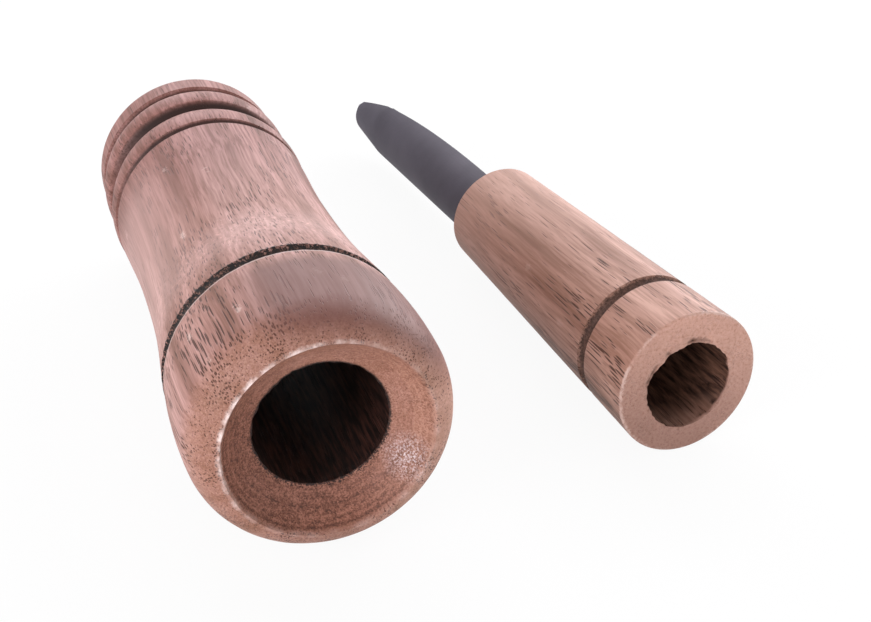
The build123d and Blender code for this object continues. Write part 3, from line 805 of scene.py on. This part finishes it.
# The bore is dark, torn along the grain
inside = add(
    tree, "ShaderNodeMapRange", [("Value", radius)],
    values={"From Min": INSERT_BORE_R + 0.45, "From Max": INSERT_BORE_R + 0.25},
)
deep_in = add(tree, "ShaderNodeMapRange", [("Value", parts.outputs["Y"])], values={"From Min": 0.05, "From Max": 0.4})
inside = add(tree, "ShaderNodeMath", [(0, inside), (1, deep_in)], operation="MULTIPLY")
hollow = add(tree, "ShaderNodeValToRGB", [("Fac", drawn)], stops=[(0.38, srgb("#2a1812")), (0.66, srgb("#795545"))])
bored = add(tree, "ShaderNodeMixRGB", [("Fac", inside), ("Color1", rimmed), ("Color2", hollow)])
dullness = add(tree, "ShaderNodeMapRange", [("Value", wood["fibre"])], values={"To Min": 0.66, "To Max": 0.46})
torn = add(tree, "ShaderNodeMath", [(0, drawn), (1, inside)], operation="MULTIPLY")
relief = add(tree, "ShaderNodeMath", [(0, wood["pores"]), (1, torn)], operation="ADD")
finish_wood(tree, bored, dullness, relief, depth=-0.10)
dress(insert, insert_wood)

# Tone board: the half-round tongue of black moulded plastic, pushed into the insert's narrow end.
# Its face falls away to the tip under the reed, and an air channel runs along it.
# The piece is a copy of the solid's mesh, merged and cut into rings, so that its back shades evenly into the tip.
TONGUE_BOW = 70.0
TAPER_START = 85.2
TONGUE_SAG = 0.045
TONGUE_RINGS = 48
TONGUE_CREASE = 35
FIRST_RING = INSERT_LENGTH - 4.9
bpy.ops.object.select_all(action="DESELECT")
nodes["tone_board"].select_set(True)
bpy.context.view_layer.objects.active = nodes["tone_board"]
bpy.ops.object.duplicate()
tongue = bpy.context.object
tongue.name = tongue.data.name = "tone_board_moulding"
bpy.ops.mesh.customdata_custom_splitnormals_clear()
bpy.ops.object.mode_set(mode="EDIT")
bpy.ops.mesh.select_all(action="SELECT")
bpy.ops.mesh.remove_doubles(threshold=WELD)
for k in range(TONGUE_RINGS):
    bpy.ops.mesh.select_all(action="SELECT")
    ring_at = insert_place @ Vector((0, (FIRST_RING + k) * MM, 0))
    bpy.ops.mesh.bisect(plane_co=ring_at, plane_no=insert_place.col[1].xyz)
bpy.ops.object.mode_set(mode="OBJECT")
# The top bows down a little towards the tip
to_local = insert_place.inverted()
for v in tongue.data.vertices:
    spot = to_local @ v.co
    bow = min(max((spot.y / MM - TONGUE_BOW) / (TAPER_START - TONGUE_BOW), 0.0), 1.0)
    if spot.z > 0:
        spot.z *= 1 - TONGUE_SAG * bow * bow
        v.co = insert_place @ spot
bpy.ops.object.shade_smooth_by_angle(angle=math.radians(TONGUE_CREASE))
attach(tongue, "voice")
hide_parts("tone_board")
board_plastic, tree = new_finish("moulded_black_plastic")
place_at = add(tree, "ShaderNodeTexCoord")
# Mould texture of about 0.4 mm, and soft rubbed patches of about 8 mm
texture = add(
    tree, "ShaderNodeTexNoise", [("Vector", place_at.outputs["Object"])], values={"Scale": 2500.0, "Detail": 2.0},
)
rubbed = add(
    tree, "ShaderNodeTexNoise", [("Vector", place_at.outputs["Object"])], values={"Scale": 120.0, "Detail": 3.0},
)
tone = add(tree, "ShaderNodeValToRGB", [("Fac", rubbed)], stops=[(0.35, srgb("#393340")), (0.65, srgb("#453f4c"))])
dull = add(tree, "ShaderNodeMapRange", [("Value", rubbed)], values={"To Min": 0.74, "To Max": 0.60})
bump = add(tree, "ShaderNodeBump", [("Height", texture)], values={"Strength": 0.25, "Distance": 0.05 * MM})
shader = add(
    tree, "ShaderNodeBsdfPrincipled", [("Base Color", tone), ("Roughness", dull), ("Normal", bump)],
    values={"IOR": 1.5},
)
add(tree, "ShaderNodeOutputMaterial", [("Surface", shader)])
dress(tongue, board_plastic)

# Wedge: a plug of natural cork squeezed in over the reed's tail, cut flush with the insert's narrow end.
# Cork is pale brown with darker specks of bark and small open cells.
cork, tree = new_finish("natural_cork")
place_at = add(tree, "ShaderNodeTexCoord")
# Cells of about 0.6 mm and bark specks of about 1.5 mm
cells = add(tree, "ShaderNodeTexVoronoi", [("Vector", place_at.outputs["Object"])], values={"Scale": 1600.0})
specks = add(
    tree, "ShaderNodeTexNoise", [("Vector", place_at.outputs["Object"])], values={"Scale": 700.0, "Detail": 3.0},
)
tone = add(
    tree, "ShaderNodeValToRGB", [("Fac", specks)],
    stops=[(0.32, srgb("#6b4a2f")), (0.45, srgb("#b58a5e")), (0.7, srgb("#c9a173"))],
)
bump = add(tree, "ShaderNodeBump", [("Height", cells)], values={"Strength": 0.5, "Distance": 0.1 * MM})
shader = add(tree, "ShaderNodeBsdfPrincipled", [("Base Color", tone), ("Normal", bump)], values={"Roughness": 0.85})
add(tree, "ShaderNodeOutputMaterial", [("Surface", shader)])
dress(nodes["wedge"], cork)

# Reed: one strip of dark polyester film on the tone board's face, its tail clamped under the wedge.
# The film is matt, with faint lines along it from the rolling.
reed_film, tree = new_finish("matt_polyester_film")
place_at = add(tree, "ShaderNodeTexCoord")
along = add(tree, "ShaderNodeMapping", [("Vector", place_at.outputs["Object"])], vector_type="TEXTURE")
along.inputs["Location"].default_value = insert_place.translation
along.inputs["Rotation"].default_value = insert_place.to_euler()
along.inputs["Scale"].default_value = (0.5 * MM, 30 * MM, 0.5 * MM)
rolled = add(tree, "ShaderNodeTexNoise", [("Vector", along)], values={"Scale": 1.0, "Detail": 3.0})
tone = add(tree, "ShaderNodeValToRGB", [("Fac", rolled)], stops=[(0.3, srgb("#37333a")), (0.7, srgb("#48434a"))])
dull = add(tree, "ShaderNodeMapRange", [("Value", rolled)], values={"To Min": 0.6, "To Max": 0.46})
shader = add(tree, "ShaderNodeBsdfPrincipled", [("Base Color", tone), ("Roughness", dull)], values={"IOR": 1.6})
add(tree, "ShaderNodeOutputMaterial", [("Surface", shader)])
for name in ("reed_root", "reed_blade"):
    dress(nodes[name], reed_film)

# Table: a sheet of matt white paper, laid flat under the two halves.
# It shows white to the camera and in reflections, and keeps a faint shadow of the call.
TABLE_SIZE = 6.0
TABLE_DROP = 0.05 * MM
PAPER_GLOW = 0.93


def seen_rays(tree):
    """1 for what the camera sees, straight or in gloss or glass, and 0 for light on its way to the call."""
    path = add(tree, "ShaderNodeLightPath")
    seen = add(
        tree, "ShaderNodeMath", [(0, path.outputs["Is Camera Ray"]), (1, path.outputs["Is Glossy Ray"])],
        operation="MAXIMUM",
    )
    return add(tree, "ShaderNodeMath", [(0, seen), (1, path.outputs["Is Transmission Ray"])], operation="MAXIMUM")


bpy.ops.object.select_all(action="DESELECT")
bpy.ops.mesh.primitive_plane_add(size=TABLE_SIZE, location=(0, 0, -TABLE_DROP))
table = bpy.context.object
table.name = "table"
paper, tree = new_finish("white_paper")
seen = seen_rays(tree)
share = add(tree, "ShaderNodeMath", [(0, seen)], operation="MULTIPLY", values={1: PAPER_GLOW})
matt = add(tree, "ShaderNodeBsdfDiffuse", values={"Color": shade(0.92)})
glow = add(tree, "ShaderNodeEmission", values={"Color": shade(1.0), "Strength": 1.0})
mixed = add(tree, "ShaderNodeMixShader", [("Fac", share), (1, matt), (2, glow)])
add(tree, "ShaderNodeOutputMaterial", [("Surface", mixed)])
table.data.materials.append(paper)

# Sky: a light tent of white cloth round the table, with bright walls and a dull roof.
# It is white where the camera sees it, and lights the call as a tent does.
world = bpy.data.worlds.new("white_sky")
bpy.context.scene.world = world
world.use_nodes = True
tree = world.node_tree
tree.nodes.clear()
seen = seen_rays(tree)
sky_way = add(tree, "ShaderNodeTexCoord")
way = add(tree, "ShaderNodeSeparateXYZ", [("Vector", sky_way.outputs["Generated"])])
wall = add(
    tree, "ShaderNodeMapRange", [("Value", way.outputs["Z"])],
    values={"From Min": 0.15, "From Max": 0.8, "To Min": 1.55, "To Max": 0.18},
)
level = add(tree, "ShaderNodeMath", [(0, wall), (1, seen)], operation="MAXIMUM")
sky = add(tree, "ShaderNodeBackground", [("Strength", level)], values={"Color": shade(1.0)})
add(tree, "ShaderNodeOutputWorld", [("Surface", sky)])

# Lamps: broad soft boxes behind and at the right, whose sheen lies along the waist, and a small one at the left.
# Their light is a very little cool, as the photo's is.
LAMP_TINT = (0.97, 0.95, 1.0)


def soft_box(name, spot, aim, size, power):
    """A square soft box that shines from spot to aim."""
    lamp = bpy.data.lights.new(name, "AREA")
    lamp.size = size
    lamp.energy = power
    lamp.color = LAMP_TINT
    holder = bpy.data.objects.new(name, lamp)
    holder.location = spot
    holder.rotation_euler = (Vector(aim) - Vector(spot)).to_track_quat("-Z", "Y").to_euler()
    bpy.context.scene.collection.objects.link(holder)


soft_box("back_box", (0.05, 0.48, 0.36), (0, 0, 0.01), 0.40, 1.8)
soft_box("right_box", (0.44, 0.28, 0.22), (0, 0, 0.01), 0.46, 3.0)
soft_box("left_box", (-0.42, -0.22, 0.20), (0, -0.02, 0.01), 0.28, 1.3)

# Camera: a 74 mm lens 135 mm above the table, to the left in front of the barrel's mouth, looking 32 degrees down.
# Its place is measured from the middle of the barrel's lip, in millimetres, and its focal length in the photo's pixels.
CAMERA_OFFSET = (-39.57, -156.08)
CAMERA_HEIGHT = 135.19
LOOK_RIGHT = 18.364
LOOK_DOWN = 32.34
FOCAL_PIXELS = 1800
PHOTO_WIDTH = 871
SENSOR = 36.0
lens = bpy.data.cameras.new("camera")
lens.sensor_fit = "HORIZONTAL"
lens.sensor_width = SENSOR
lens.lens = SENSOR * FOCAL_PIXELS / PHOTO_WIDTH
lens.clip_start = 0.01
camera = bpy.data.objects.new("camera", lens)
lip_spot = barrel_place.translation
camera.location = (lip_spot.x + CAMERA_OFFSET[0] * MM, lip_spot.y + CAMERA_OFFSET[1] * MM, CAMERA_HEIGHT * MM)
camera.rotation_euler = Euler((math.radians(90 - LOOK_DOWN), 0, math.radians(-LOOK_RIGHT)))
bpy.context.scene.collection.objects.link(camera)
bpy.context.scene.camera = camera
bpy.context.scene.view_settings.view_transform = "Standard"
